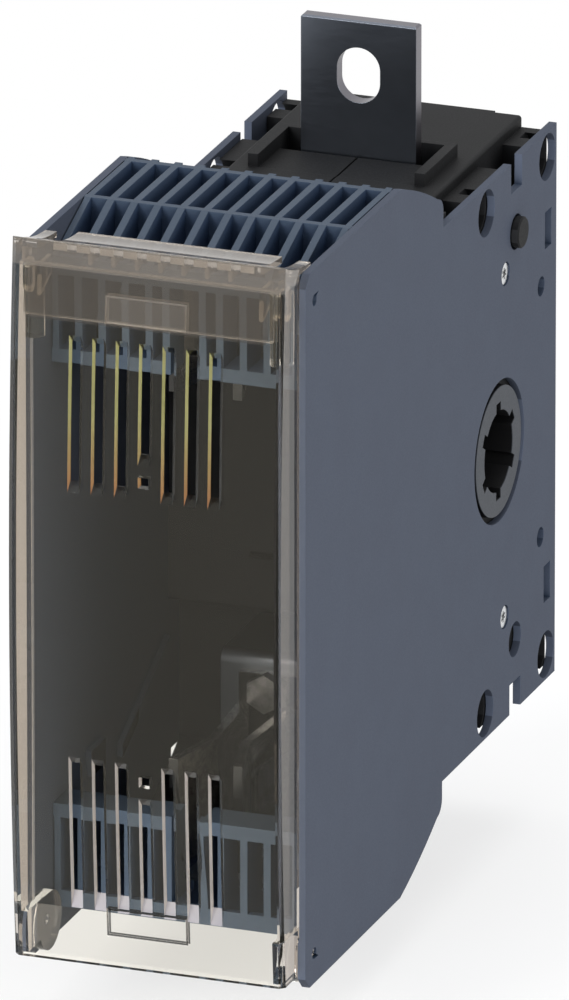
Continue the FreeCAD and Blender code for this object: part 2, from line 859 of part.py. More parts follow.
def cover_shell():
    """Front wall, side walls and top as one thin moulding, open at the back and below."""
    middle = (cover_top + cover_bottom) / 2
    wall = cover_front_t
    outer = side_profile(
        (cover_back, cover_bottom),
        [
            (cover_back, lip_arc_height(cover_back)),
            lip_run(cover_back, cover_edge_front - lip_tip),
            (cover_edge_front, lip_arc_height(cover_edge_front - lip_tip)),
            (front_depth(middle, 0), middle, cover_edge_front, cover_bottom),
        ],
        -cover_half,
        cover_half,
    )
    corners = [
        edge
        for edge in outer.Edges
        if abs(abs(edge.CenterOfMass.x) - cover_half) < 1e-3
        and edge.BoundBox.YMin < -front_depth(middle, 0) + 1e-3
    ]
    outer = outer.makeChamfer(cover_corner, corners)
    behind = cover_back - 1
    below = cover_bottom - 1
    top_front = cover_edge_front - wall
    inner = side_profile(
        (behind, below),
        [
            (behind, lip_arc_height(behind, lip_t)),
            lip_run(behind, top_front, lip_t),
            (front_depth(middle, wall), middle, front_depth(below, wall), below),
        ],
        -cover_half + cover_side_t,
        cover_half - cover_side_t,
    )
    relief = []
    for side in (-1, 1):
        x0, x1 = sorted((side * cheek_out, side * (cover_half + 1)))
        relief.append(rod(hook_depth, -hook_height, swing_relief_r, x0, x1))
    return outer.cut([inner] + relief)


def top_lip(x0, x1, back):
    """A stretch of the top wall that reaches back between the side plates."""
    front = cover_back + 1
    return side_profile(
        (back, lip_arc_height(back)),
        [
            lip_run(back, front),
            (front, lip_arc_height(front, lip_t)),
            lip_run(front, back, lip_t),
        ],
        x0,
        x1,
    )


def lip_web(x):
    """A small triangular web under the lip."""
    sunk = lip_t / 2
    return side_profile(
        (lip_web_from, lip_arc_height(lip_web_from, sunk)),
        [
            lip_run(lip_web_from, lip_web_to, sunk),
            (lip_web_to, lip_arc_height(lip_web_to, lip_t) - lip_web_h),
        ],
        x - lip_web_t / 2,
        x + lip_web_t / 2,
    )


def cover_apron():
    """The thick top of the front wall, under the lip."""
    half = cover_half - cover_side_t / 2
    back = cover_edge_front - apron_t
    front = cover_edge_front - cover_front_t / 2
    sunk = lip_t / 2
    return side_profile(
        (back, apron_bottom),
        [
            (back, lip_arc_height(back, sunk)),
            lip_run(back, front, sunk),
            (front, apron_bottom),
        ],
        -half,
        half,
    )


def cover_cheek():
    """The right hinge cheek with its pivot stub."""
    start = cheek_out - cheek_t
    low = cover_bottom + cheek_lift
    arm = side_profile(
        (hook_depth, -hook_height + pivot_boss_r),
        [
            (cover_back + cheek_foot, cheek_top),
            (front_depth(cheek_top, cheek_inset), cheek_top),
            (front_depth(cover_bottom, cheek_inset), low),
            (cover_back, low),
            (hook_depth, -hook_height - pivot_boss_r / 2),
        ],
        start,
        cheek_out,
    )
    boss = rod(hook_depth, -hook_height, pivot_boss_r, start, cheek_out)
    pivot = rod(hook_depth, -hook_height, pivot_r, start, cheek_out + pivot_reach)
    web_back = cover_back + cheek_foot + cheek_inset
    web_front = front_depth(cheek_top, cheek_inset)
    web = block(cheek_out - merge, cover_half - cover_side_t / 4, web_back, web_front, low, cheek_top)
    return joined([arm, boss, pivot, web])


def latch_boss():
    """The round snap post in the right upper corner."""
    x = cheek_out - latch_r
    depth = cover_back + latch_r + latch_stand
    half_web = latch_web_t / 2
    web_end = cover_half - cover_side_t / 2
    foot = at(x, depth, latch_low)
    post = Part.makeCylinder(latch_r, latch_high - latch_low, foot, FreeCAD.Vector(0, 0, 1))
    web = block(x, web_end, depth - half_web, depth + half_web, latch_low, latch_high)
    return joined([post, web])


def ramped_slot(x, low, high, low_ramp, high_ramp):
    """A slot through the front wall whose ends run out obliquely."""
    half = slot_w / 2
    deep_low = front_depth(low, 0)
    t = cover_front_t
    grow = 1.0
    low_rate = low_ramp / t
    high_rate = high_ramp / t
    front = max(front_depth(low, 0), front_depth(high, 0)) + grow
    back = min(deep_low, front_depth(high, 0)) - t - grow
    return side_profile(
        (front, low - (front - front_depth(low, 0)) * low_rate),
        [
            (back, low + (front_depth(low, 0) - back) * low_rate),
            (back, high - (front_depth(high, 0) - back) * high_rate),
            (front, high + (front - front_depth(high, 0)) * high_rate),
        ],
        x - half,
        x + half,
    )


def cover_slots():
    """Vent slots, test-probe holes and the two engraved fields of the front wall."""
    cuts = []
    for index in range(slot_count):
        place = index - (slot_count - 1) / 2
        x = place * slot_pitch
        short = middle_slot_cut if place == 0 else 0.0
        cuts.append(ramped_slot(x, slot_low + short, slot_high, slot_ramp, slot_ramp))
        cuts.append(
            ramped_slot(
                x,
                -slot_high + 2 * slot_shift,
                -slot_low + 2 * slot_shift - short,
                slot_long_ramp,
                slot_ramp,
            )
        )
    for z in (probe_height + slot_shift, -probe_height + slot_shift):
        front = front_depth(z, 0)
        half = probe_size / 2
        cuts.append(block(-half, half, front - cover_front_t - 1, front + 1, z - half, z + half))
    for side in (-1, 1):
        low = side * (field_low + field_high) / 2 + field_shift - (field_high - field_low) / 2
        high = low + field_high - field_low
        floor = front_depth((low + high) / 2, field_sink)
        frame = block(-field_half, field_half, floor, floor + 3, low, high)
        window = block(
            -field_half + field_line,
            field_half - field_line,
            floor - 1,
            floor + 4,
            low + field_line,
            high - field_line,
        )
        cuts.append(frame.cut(window))
    return cuts


def fuse_cover():
    """The clear cover that closes the fuse bay and hinges at its lower edge."""
    pieces = [cover_shell(), cover_apron(), top_lip(-lip_half_width, lip_half_width, lip_back)]
    for index in range(slot_count):
        pieces.append(lip_web((index - (slot_count - 1) / 2) * slot_pitch))
    for piece in (top_lip(ear_inner, cheek_out, ear_back), cover_cheek(), latch_boss()):
        pieces += both_x(piece)
    cover = joined(pieces)
    cuts = cover_slots()
    for index in range(lip_vents):
        x = (index - (lip_vents - 1) / 2) * slot_pitch
        half = lip_vent_w / 2
        cuts.append(block(x - half, x + half, lip_vent_from, lip_vent_to, lip_height - 4, cover_top + 1))
    return cover.cut(cuts)


def group(solids):
    """Several loose solids kept together in one node."""
    return Part.makeCompound(solids)


def main():
    os.makedirs("parts", exist_ok=True)
    plate = side_plate()
    save("side_plate_right", plate)
    save("side_plate_left", mirrored_x(plate))
    save("base_half_right", base_half(dowel_height))
    save("base_half_left", mirrored_x(base_half(-dowel_height)))
    cap = grille()
    save("grille_upper", cap)
    save("grille_lower", mirrored_z(cap))
    upper = {
        "terminal": terminal(),
        "fuse_bar": fuse_bar(),
        "fuse_contact": fuse_contact(),
        "contact_springs": group(contact_springs()),
        "contact_screws": jaw_screw(),
        "moving_blade": moving_blade(),
    }
    for name, shape in upper.items():
        save(name + "_upper", shape)
        save(name + "_lower", mirrored_z(shape))
    quench = group([quench_plate(turn) for turn in quench_turns])
    save("quench_plates_upper", quench)
    save("quench_plates_lower", half_turned(quench))
    save("drive_hub", drive_hub())
    save("plate_screws", group(plate_screws()))
    save("dowel_right", dowel(1, dowel_height))
    save("dowel_left", dowel(-1, -dowel_height))
    save("fuse_cover", fuse_cover())


main()
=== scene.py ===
"""Looks of one pole of a fuse switch disconnector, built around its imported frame.

Lengths are in metres, in the frame of the part: x to the right, y to the back, z up.
"""
from __future__ import annotations

import logging
import math
from dataclasses import dataclass
from enum import Enum

import bmesh
import bpy
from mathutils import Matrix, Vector


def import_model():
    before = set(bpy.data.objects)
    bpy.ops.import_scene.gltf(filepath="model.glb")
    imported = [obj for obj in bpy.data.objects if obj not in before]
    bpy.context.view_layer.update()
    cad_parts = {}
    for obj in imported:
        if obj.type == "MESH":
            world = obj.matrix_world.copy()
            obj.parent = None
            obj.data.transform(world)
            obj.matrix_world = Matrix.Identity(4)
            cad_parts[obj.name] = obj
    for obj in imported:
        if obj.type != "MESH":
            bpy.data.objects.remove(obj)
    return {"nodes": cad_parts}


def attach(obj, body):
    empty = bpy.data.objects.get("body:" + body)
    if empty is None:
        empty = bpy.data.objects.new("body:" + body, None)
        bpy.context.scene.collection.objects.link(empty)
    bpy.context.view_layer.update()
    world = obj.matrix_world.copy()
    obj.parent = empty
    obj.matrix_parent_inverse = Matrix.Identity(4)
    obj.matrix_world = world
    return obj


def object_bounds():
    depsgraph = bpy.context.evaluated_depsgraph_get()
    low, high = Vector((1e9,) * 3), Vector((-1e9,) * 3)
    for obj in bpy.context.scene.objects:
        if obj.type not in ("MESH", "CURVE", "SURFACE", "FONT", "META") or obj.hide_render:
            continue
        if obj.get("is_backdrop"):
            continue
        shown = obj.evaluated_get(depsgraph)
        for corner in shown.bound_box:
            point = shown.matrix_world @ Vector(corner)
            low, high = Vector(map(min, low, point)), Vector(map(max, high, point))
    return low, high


MM = 0.001
Triple = tuple[float, float, float]
Colour = Triple
Span = tuple[float, float]
WHITE = (1.0, 1.0, 1.0)
# Painted light: the milky colour of the cover's lip and head band, standing in for light from above through the lip.
PAINTED_TOP_LIGHT = (0.4, 0.36, 0.32)

# A face is turned to an axis from this part of its unit normal on, and square to it from the larger one on.
TURNED = 0.5
SQUARE = 0.9

# The range in which most values of a noise pattern lie.
NOISE_MIDDLE = (0.3, 0.7)

# Share of open surroundings where the painted shade of hollows is full and where it ends, and likeness of the plain
# and the rounded normal at an edge and away from it, with the samples that each takes.
HOLLOW_RANGE = (0.35, 0.95)
HOLLOW_SAMPLES = 8
EDGE_RANGE = (0.72, 0.995)
EDGE_SAMPLES = 6

# Places of a colour Mix node's sockets, since several of them share each name.
MIX_SHARE, MIX_FIRST, MIX_SECOND, MIX_RESULT = 0, 6, 7, 2

logging.basicConfig(level=logging.INFO, format="%(message)s")
log = logging.getLogger("pole")


class Slot(Enum):
    """A material slot of the record, which no piece made here takes."""

    SMOKED_CLEAR = "smoked_clear"


class Coordinate(Enum):
    """What a material can ask about a point of the surface, in the part's own frame."""

    PLACE = "Object"
    FACING = "Normal"


class Graph:
    """A node tree with short calls for its nodes and links."""

    def __init__(self, tree: bpy.types.NodeTree, output: str) -> None:
        """Empty a tree and give it an output node.

        Args:
            tree: The node tree of a material or a world.
            output: The kind of its output node.
        """
        self.tree = tree
        self.tree.nodes.clear()
        self.output = self.node(output)

    def node(self, kind: str, inputs: dict[str, object] | None = None, **settings: object) -> bpy.types.Node:
        """Add a node.

        Args:
            kind: Blender's name of the node type, without its ShaderNode prefix.
            inputs: Values or output sockets by input name.
            settings: Properties of the node itself.

        Returns:
            The new node.
        """
        made = self.tree.nodes.new("ShaderNode" + kind)
        for key, value in settings.items():
            setattr(made, key, value)
        for key, value in (inputs or {}).items():
            self.feed(made.inputs[key], value)
        return made

    def feed(self, socket: bpy.types.NodeSocket, value: object) -> None:
        """Link an output socket to an input, or set the input's own value.

        Args:
            socket: The input.
            value: The output socket or the value.
        """
        if isinstance(value, bpy.types.NodeSocket):
            self.tree.links.new(value, socket)
        elif isinstance(value, tuple) and len(value) == 3 and socket.type == "RGBA":
            socket.default_value = (*value, 1.0)
        else:
            socket.default_value = value

    def show(self, shader: bpy.types.Node) -> None:
        """Link a shader to the output's surface."""
        self.feed(self.output.inputs["Surface"], shader.outputs[0])

    def between(self, share: object, first: bpy.types.Node, second: bpy.types.Node) -> bpy.types.Node:
        """Mix two shaders.

        Args:
            share: The second one's share.
            first: The first shader.
            second: The second shader.

        Returns:
            The mixed shader.
        """
        made = self.node("MixShader", {"Fac": share})
        self.feed(made.inputs[1], first.outputs[0])
        self.feed(made.inputs[2], second.outputs[0])
        return made

    def math(self, operation: str, first: object, second: object = 0.0) -> bpy.types.NodeSocket:
        """Work out a number at each point.

        Args:
            operation: Blender's name of the operation.
            first: Its first number or socket.
            second: Its second number or socket.

        Returns:
            The result.
        """
        made = self.node("Math", operation=operation)
        self.feed(made.inputs[0], first)
        self.feed(made.inputs[1], second)
        return made.outputs[0]

    def span(self, value: object, source: Span, target: Span = (0.0, 1.0)) -> bpy.types.NodeSocket:
        """A value mapped from one range to another and held within it."""
        limits = {"From Min": source[0], "From Max": source[1], "To Min": target[0], "To Max": target[1]}
        return self.node("MapRange", {"Value": value, **limits}).outputs["Result"]

    def blend(self, share: object, first: object, second: object) -> bpy.types.NodeSocket:
        """Mix two colours.

        Args:
            share: The second one's share.
            first: The first colour or its socket.
            second: The second colour or its socket.

        Returns:
            The mixed colour.
        """
        made = self.node("Mix", data_type="RGBA")
        self.feed(made.inputs[MIX_SHARE], share)
        self.feed(made.inputs[MIX_FIRST], first)
        self.feed(made.inputs[MIX_SECOND], second)
        return made.outputs[MIX_RESULT]

    def noise(self, size: float, detail: float = 3.0, stretch: Triple = (1.0, 1.0, 1.0)) -> bpy.types.NodeSocket:
        """A noise pattern fixed to the piece.

        Args:
            size: Size of its features, in metres.
            detail: How many finer layers it has.
            stretch: How much longer its features are along x, y and z.

        Returns:
            The pattern's value.
        """
        place = self.node("TexCoord").outputs[Coordinate.PLACE.value]
        scale = tuple(1.0 / (size * share) for share in stretch)
        mapped = self.node("Mapping", {"Vector": place, "Scale": scale})
        made = self.node("TexNoise", {"Vector": mapped.outputs["Vector"], "Scale": 1.0, "Detail": detail})
        return made.outputs["Fac"]

    def parts(self, asked: Coordinate) -> tuple[bpy.types.NodeSocket, bpy.types.NodeSocket, bpy.types.NodeSocket]:
        """The x, y and z parts of the point's place or of the face's direction."""
        split = self.node("SeparateXYZ", {"Vector": self.node("TexCoord").outputs[asked.value]})
        return split.outputs["X"], split.outputs["Y"], split.outputs["Z"]

    def size(self, value: bpy.types.NodeSocket) -> bpy.types.NodeSocket:
        """A number without its sign."""
        return self.math("ABSOLUTE", value)

    def over(self, value: bpy.types.NodeSocket, level: float) -> bpy.types.NodeSocket:
        """One where the value is over a level."""
        return self.math("GREATER_THAN", value, level)

    def under(self, value: bpy.types.NodeSocket, level: float) -> bpy.types.NodeSocket:
        """One where the value is under a level."""
        return self.math("LESS_THAN", value, level)

    def within(self, value: bpy.types.NodeSocket, limits: Span) -> bpy.types.NodeSocket:
        """One where the value is between two levels."""
        low, high = limits
        return self.every(self.over(value, low), self.under(value, high))

    def every(self, *shares: bpy.types.NodeSocket) -> bpy.types.NodeSocket:
        """Join shares into one that holds only where all of them do.

        Args:
            shares: The shares.

        Returns:
            The joined share.
        """
        joined = shares[0]
        for share in shares[1:]:
            joined = self.math("MULTIPLY", joined, share)
        return joined

    def most(self, *shares: bpy.types.NodeSocket) -> bpy.types.NodeSocket:
        """Join shares into the largest of them.

        Args:
            shares: The shares.

        Returns:
            The joined share.
        """
        joined = shares[0]
        for share in shares[1:]:
            joined = self.math("MAXIMUM", joined, share)
        return joined

    def hollow_shade_share(self, reach: float) -> bpy.types.NodeSocket:
        """A share that rises to 1 far inside the piece's own hollows, for painted shade there."""
        nearby = self.node("AmbientOcclusion", {"Distance": reach}, samples=HOLLOW_SAMPLES, only_local=True)
        return self.span(nearby.outputs["AO"], HOLLOW_RANGE, (1.0, 0.0))

    def soft_normal(self, radius: float) -> bpy.types.NodeSocket:
        """The surface normal with its sharp edges rounded off by a radius."""
        return self.node("Bevel", {"Radius": radius}, samples=EDGE_SAMPLES).outputs["Normal"]

    def edge_share(self, radius: float) -> bpy.types.NodeSocket:
        """Find the sharp edges of the piece.

        Args:
            radius: How far from an edge the share reaches.

        Returns:
            A share that rises to 1 at the edges.
        """
        plain = self.node("NewGeometry").outputs["Normal"]
        pair = self.node("VectorMath", operation="DOT_PRODUCT")
        self.feed(pair.inputs[0], plain)
        self.feed(pair.inputs[1], self.soft_normal(radius))
        return self.span(pair.outputs["Value"], EDGE_RANGE, (1.0, 0.0))

    def bumped(self, height: object, depth: float, radius: float) -> bpy.types.NodeSocket:
        """Turn a pattern into a fine relief.

        Args:
            height: The pattern.
            depth: The relief's depth.
            radius: The radius that rounds off the sharp edges.

        Returns:
            The normal.
        """
        made = self.node("Bump", {"Height": height, "Distance": depth, "Strength": 1.0})
        self.feed(made.inputs["Normal"], self.soft_normal(radius))
        return made.outputs["Normal"]

    def straight_sight(self) -> bpy.types.NodeSocket:
        """Tell the rays of sight from the light that falls on surfaces.

        Returns:
            One for rays from the eye, straight, mirrored or through clear plastic, and nought once they scatter.
        """
        path = self.node("LightPath").outputs
        seen = self.most(path["Is Camera Ray"], path["Is Glossy Ray"], path["Is Transmission Ray"])
        scatterings_below = 0.5
        return self.every(seen, self.under(path["Diffuse Depth"], scatterings_below))


class MaterialGraph(Graph):
    """The node tree of a new material."""

    def __init__(self, name: str) -> None:
        """Start an empty material.

        Args:
            name: Its name.
        """
        self.material = bpy.data.materials.new(name)
        self.material.use_nodes = True
        super().__init__(self.material.node_tree, "OutputMaterial")

    def principled(self, inputs: dict[str, object]) -> bpy.types.Material:
        """Show the main shader with these values or sockets by input name, and return the finished material."""
        self.show(self.node("BsdfPrincipled", inputs))
        return self.material


@dataclass(frozen=True)
class Moulding:
    """Injection-moulded plastic with a fine spark-eroded grain.

    Faces that look forwards are painted brighter by a factor, as painted light from the front, and the piece's own
    hollows take a darker colour as painted shade. The inner colour lies nearer the middle than inner_x: a painted
    highlight on the side plates' ribs, and painted shade in the hub's bore. The near-black colour for the walls of
    the fuse compartment is painted shade.
    """

    name: str
    colour: Colour
    shade: Colour
    edge: Colour
    roughness: float
    shine: float = 0.25
    painted_front_light: float = 1.0
    shade_reach: float = 6 * MM
    hollow_shade: Colour = (0.003, 0.003, 0.0035)
    inner: Colour | None = None
    inner_x: float = 0.0
    bay_shade: Colour | None = None
    bay_x: float = 29.9 * MM
    bay_front: float = -100 * MM
    bay_height: float = 60 * MM
    cloud_size: float = 9 * MM
    cloud_range: Span = (0.35, 0.65)
    edge_lightening: float = 0.55
    index: float = 1.5
    grain_size: float = 0.35 * MM
    grain_detail: float = 2.0
    grain_depth: float = 0.012 * MM
    roughness_spread: float = 0.06
    edge_radius: float = 0.22 * MM

    def material(self) -> bpy.types.Material:
        """Build the material.

        Returns:
            The finished material.
        """
        graph = MaterialGraph(self.name)
        cloud = graph.span(graph.noise(self.cloud_size), self.cloud_range)
        body = graph.blend(cloud, self.colour, self.shade)
        # Sharp edges are blended towards the lighter edge colour.
        edges = graph.math("MULTIPLY", graph.edge_share(self.edge_radius), self.edge_lightening)
        colour = graph.blend(edges, body, self.edge)
        # Painted light from the front: faces that look forwards take a brighter copy of the colour.
        if self.painted_front_light != 1.0:
            _, turn_y, _ = graph.parts(Coordinate.FACING)
            lit = tuple(self.painted_front_light * part for part in self.colour)
            colour = graph.blend(graph.under(turn_y, -SQUARE), colour, lit)
        # Painted shade: the walls of the fuse compartment take a near-black colour.
        if self.bay_shade:
            x, y, z = graph.parts(Coordinate.PLACE)
            inside = graph.under(graph.size(x), self.bay_x)
            bay_shade = graph.every(inside, graph.under(y, self.bay_front), graph.under(graph.size(z), self.bay_height))
            colour = graph.blend(bay_shade, colour, self.bay_shade)
        # Nearer the middle: a painted highlight on the side plates' ribs, and painted shade in the hub's bore.
        if self.inner:
            x, _, _ = graph.parts(Coordinate.PLACE)
            colour = graph.blend(graph.under(graph.size(x), self.inner_x), colour, self.inner)
        grain = graph.noise(self.grain_size, self.grain_detail)
        roughness = (self.roughness - self.roughness_spread, self.roughness + self.roughness_spread)
        return graph.principled(
            {
                # Painted shade: the piece's own hollows take a darker colour.
                "Base Color": graph.blend(graph.hollow_shade_share(self.shade_reach), colour, self.hollow_shade),
                "Roughness": graph.span(grain, NOISE_MIDDLE, roughness),
                "IOR": self.index,
                "Specular IOR Level": self.shine,
                "Normal": graph.bumped(grain, self.grain_depth, self.edge_radius),
            }
        )


@dataclass(frozen=True)
class RolledMetal:
    """Plated sheet metal: rolled faces with fine streaks, and sheared edges of their own colour."""

    name: str
    face: Colour
    cut: Colour
    cut_range: Span = (0.35, 0.75)
    dull: float = 0.92
    cloud_size: float = 7 * MM
    streak_size: float = 0.25 * MM
    streak_detail: float = 2.0
    streak_stretch: Triple = (14.0, 14.0, 1.0)
    streak_depth: float = 0.001 * MM
    roughness: Span = (0.28, 0.33)
    edge_radius: float = 0.18 * MM

    def material(self) -> bpy.types.Material:
        """Build the material.

        Returns:
            The finished material.
        """
        graph = MaterialGraph(self.name)
        cloud = graph.span(graph.noise(self.cloud_size), NOISE_MIDDLE)
        face = graph.blend(cloud, self.face, tuple(self.dull * part for part in self.face))
        _, turn_y, _ = graph.parts(Coordinate.FACING)
        sheared = graph.span(graph.size(turn_y), self.cut_range, (1.0, 0.0))
        streaks = graph.noise(self.streak_size, self.streak_detail, self.streak_stretch)
        return graph.principled(
            {
                "Base Color": graph.blend(sheared, face, self.cut),
                "Metallic": 1.0,
                "Roughness": graph.span(streaks, NOISE_MIDDLE, self.roughness),
                "Normal": graph.bumped(streaks, self.streak_depth, self.edge_radius),
            }
        )


@dataclass(frozen=True)
class PlainMetal:
    """Turned or stamped small metal with light tarnish, and a colour of its own on faces to the front and back."""

    name: str
    colour: Colour
    tarnish: Colour
    roughness: float
    end: Colour | None = None
    cloud_size: float = 2.5 * MM
    cloud_detail: float = 4.0
    cloud_range: Span = (0.42, 0.7)
    grain_size: float = 0.12 * MM
    grain_detail: float = 2.0
    grain_depth: float = 0.004 * MM
    smoother: float = 0.06
    rougher: float = 0.1
    edge_radius: float = 0.12 * MM

    def material(self) -> bpy.types.Material:
        """Build the material.

        Returns:
            The finished material.
        """
        graph = MaterialGraph(self.name)
        cloud = graph.span(graph.noise(self.cloud_size, self.cloud_detail), self.cloud_range)
        colour = graph.blend(cloud, self.colour, self.tarnish)
        if self.end:
            _, turn_y, _ = graph.parts(Coordinate.FACING)
            colour = graph.blend(graph.over(graph.size(turn_y), SQUARE), colour, self.end)
        grain = graph.noise(self.grain_size, self.grain_detail)
        roughness = (self.roughness - self.smoother, self.roughness + self.rougher)
        return graph.principled(
            {
                "Base Color": colour,
                "Metallic": 1.0,
                "Roughness": graph.span(grain, NOISE_MIDDLE, roughness),
                "Normal": graph.bumped(grain, self.grain_depth, self.edge_radius),
            }
        )


@dataclass(frozen=True)
class Tone:
    """The colour of a zone of clear plastic, and the share of the light that it stops there."""

    colour: Colour
    stops: float


@dataclass(frozen=True)
class ClearPlastic:
    """Clear plastic: its shine, the flow marks in it and the light of the lamps that it lets through."""

    name: str
    tint: Colour
    index: float = 1.31
    shine: Colour = (1.0, 0.955, 0.83)
    flow_size: float = 14 * MM
    flow_detail: float = 1.0
    flow_depth: float = 0.004 * MM
    roughness: Span = (0.015, 0.03)
    edge_radius: float = 0.04 * MM

    def cast(self, graph: MaterialGraph, colour: object, stopped: object) -> bpy.types.Material:
        """Finish a clear material.

        Args:
            graph: The material's graph.
            colour: Its colour.
            stopped: The share of the light that it stops.

        Returns:
            The material.
        """
        flow = graph.noise(self.flow_size, self.flow_detail)
        plastic = graph.node(
            "BsdfPrincipled",
            {
                "Base Color": colour,
                "Transmission Weight": graph.math("SUBTRACT", 1.0, stopped),
                "IOR": self.index,
                "Specular Tint": self.shine,
                "Roughness": graph.span(flow, NOISE_MIDDLE, self.roughness),
                "Normal": graph.bumped(flow, self.flow_depth, self.edge_radius),
            },
        )
        passed = graph.node("BsdfTransparent", {"Color": self.tint})
        graph.show(graph.between(graph.node("LightPath").outputs["Is Shadow Ray"], plastic, passed))
        return graph.material


@dataclass(frozen=True)
class SmokedClear(ClearPlastic):
    """Smoked clear plastic: browner side walls, and painted light on its lip, head band, rear cut faces and vents.
    """

    tint: Colour = (0.9, 0.875, 0.81)
    wall_tint: Colour = (0.6, 0.53, 0.47)
    # The lip and head band are painted milky as painted light from above; the label field and the bright outline lie
    # within the band.
    lip: Tone = Tone(PAINTED_TOP_LIGHT, stops=0.24)
    band: Tone = Tone(PAINTED_TOP_LIGHT, stops=0.09)
    label: Tone = Tone(PAINTED_TOP_LIGHT, stops=0.17)
    # Painted highlight: a bright cyan line on the rear cut faces.
    cut: Tone = Tone((0.34, 0.48, 0.47), stops=0.35)
    bright_line: Tone = Tone(PAINTED_TOP_LIGHT, stops=0.4)
    dark_line: Tone = Tone((0.03, 0.03, 0.03), stops=0.15)
    ramp: Tone = Tone((0.36, 0.345, 0.39), stops=0.75)
    lip_vent: Tone = Tone((0.6, 0.55, 0.5), stops=0.7)
    # Painted glints on the vent slots' walls: yellow-green high up, orange at the foot, and a pale highlight in the
    # lower slots.
    vent_glint_top: Colour = (0.45, 0.44, 0.19)
    vent_glint_foot: Colour = (0.45, 0.22, 0.1)
    vent_glint_lower: Colour = (0.5, 0.46, 0.44)
    vent_glint_stops: float = 0.85
    wall_x: float = 28 * MM
    vent_x: float = 18.5 * MM
    vent_pitch: float = 5.44 * MM
    vent_z: Span = (33 * MM, 50 * MM)
    ramp_z: float = -58 * MM
    ramp_turn: Span = (0.3, 0.95)
    lip_vent_x: float = 24 * MM
    lip_vent_y: Span = (-169.6 * MM, -166.0 * MM)
    field_x: Span = (9.05 * MM, 9.5 * MM)
    high_field: Span = (71.3 * MM, 77.9 * MM)
    low_field: Span = (-71.7 * MM, -65.1 * MM)
    line: float = 0.45 * MM
    band_z: float = 70.9 * MM
    lip_z: float = 82.6 * MM
    cut_y: float = -154.5 * MM

    def outline(self, graph: Graph, field: Span) -> bpy.types.NodeSocket:
        """One on the engraved outline of a field.

        Args:
            graph: The material's graph.
            field: The field's lower and upper height.

        Returns:
            The share.
        """
        x, _, z = graph.parts(Coordinate.PLACE)
        across = graph.size(x)
        inner, outer = self.field_x
        low, high = field
        whole = graph.every(graph.under(across, outer), graph.within(z, field))
        heart = graph.every(graph.under(across, inner), graph.within(z, (low + self.line, high - self.line)))
        return graph.math("SUBTRACT", whole, heart)

    def vent_glint_wall(self, graph: Graph) -> bpy.types.NodeSocket:
        """Find the wall of each vent slot that faces right, in the left half of the slot's pitch, for its painted
        glint.

        Args:
            graph: The material's graph.

        Returns:
            A share that is one on those walls.
        """
        x, _, z = graph.parts(Coordinate.PLACE)
        turn_x, _, _ = graph.parts(Coordinate.FACING)
        half = 0.5
        pitches = graph.math("ADD", graph.math("DIVIDE", x, self.vent_pitch), half)
        left = graph.every(graph.over(turn_x, SQUARE), graph.under(graph.math("FRACT", pitches), half))
        return graph.every(graph.under(graph.size(x), self.vent_x), left, graph.under(z, self.band_z))

    def vent_glint_colour(self, graph: Graph) -> bpy.types.NodeSocket:
        """Choose the painted glint on the vent slots' walls, whose colour changes with the height.

        Args:
            graph: The material's graph.

        Returns:
            The colour.
        """
        _, _, z = graph.parts(Coordinate.PLACE)
        upper = graph.blend(graph.span(z, self.vent_z), self.vent_glint_foot, self.vent_glint_top)
        return graph.blend(graph.under(z, 0.0), upper, self.vent_glint_lower)

    def zones(self, graph: Graph) -> list[tuple[bpy.types.NodeSocket, object, float]]:
        """The cover's zones, in the order in which they are painted.

        Args:
            graph: The material's graph.

        Returns:
            For each zone a share that is one in it, its colour, and the share of the light that it stops.
        """
        x, y, z = graph.parts(Coordinate.PLACE)
        _, turn_y, turn_z = graph.parts(Coordinate.FACING)
        across = graph.size(x)
        lip = graph.over(z, self.lip_z)
        band = graph.every(graph.over(z, self.band_z), graph.under(across, self.wall_x))
        label = graph.every(graph.under(across, self.field_x[0]), graph.within(z, self.high_field))
        # The rear cut faces, which take the painted cyan highlight.
        cut = graph.every(graph.over(turn_y, SQUARE), graph.over(y, self.cut_y))
        slanted = graph.every(graph.within(turn_z, self.ramp_turn), graph.under(z, self.ramp_z))
        ramp = graph.every(graph.under(across, self.vent_x), slanted)
        lip_hole = graph.every(graph.within(y, self.lip_vent_y), graph.under(across, self.lip_vent_x), lip)
        lip_vent = graph.every(lip_hole, graph.over(graph.size(turn_y), SQUARE))
        # The lip and head band take painted light from above.
        plain = (
            (lip, self.lip),
            (band, self.band),
            (label, self.label),
            (cut, self.cut),
            (self.outline(graph, self.high_field), self.bright_line),
            (self.outline(graph, self.low_field), self.dark_line),
        )
        late = ((ramp, self.ramp), (lip_vent, self.lip_vent))
        zones = [(where, tone.colour, tone.stops) for where, tone in plain]
        # Painted glints on the vent slots' walls.
        zones.append((self.vent_glint_wall(graph), self.vent_glint_colour(graph), self.vent_glint_stops))
        return zones + [(where, tone.colour, tone.stops) for where, tone in late]

    def material(self) -> bpy.types.Material:
        """Build the material.

        Returns:
            The finished material.
        """
        graph = MaterialGraph(self.name)
        x, _, _ = graph.parts(Coordinate.PLACE)
        turn_x, _, _ = graph.parts(Coordinate.FACING)
        wall = graph.every(graph.over(graph.size(x), self.wall_x), graph.over(graph.size(turn_x), TURNED))
        colour = graph.blend(wall, self.tint, self.wall_tint)
        stopped = []
        for where, paint, stops in self.zones(graph):
            colour = graph.blend(where, colour, paint)
            stopped.append(graph.math("MULTIPLY", where, stops))
        return self.cast(graph, colour, graph.most(*stopped))


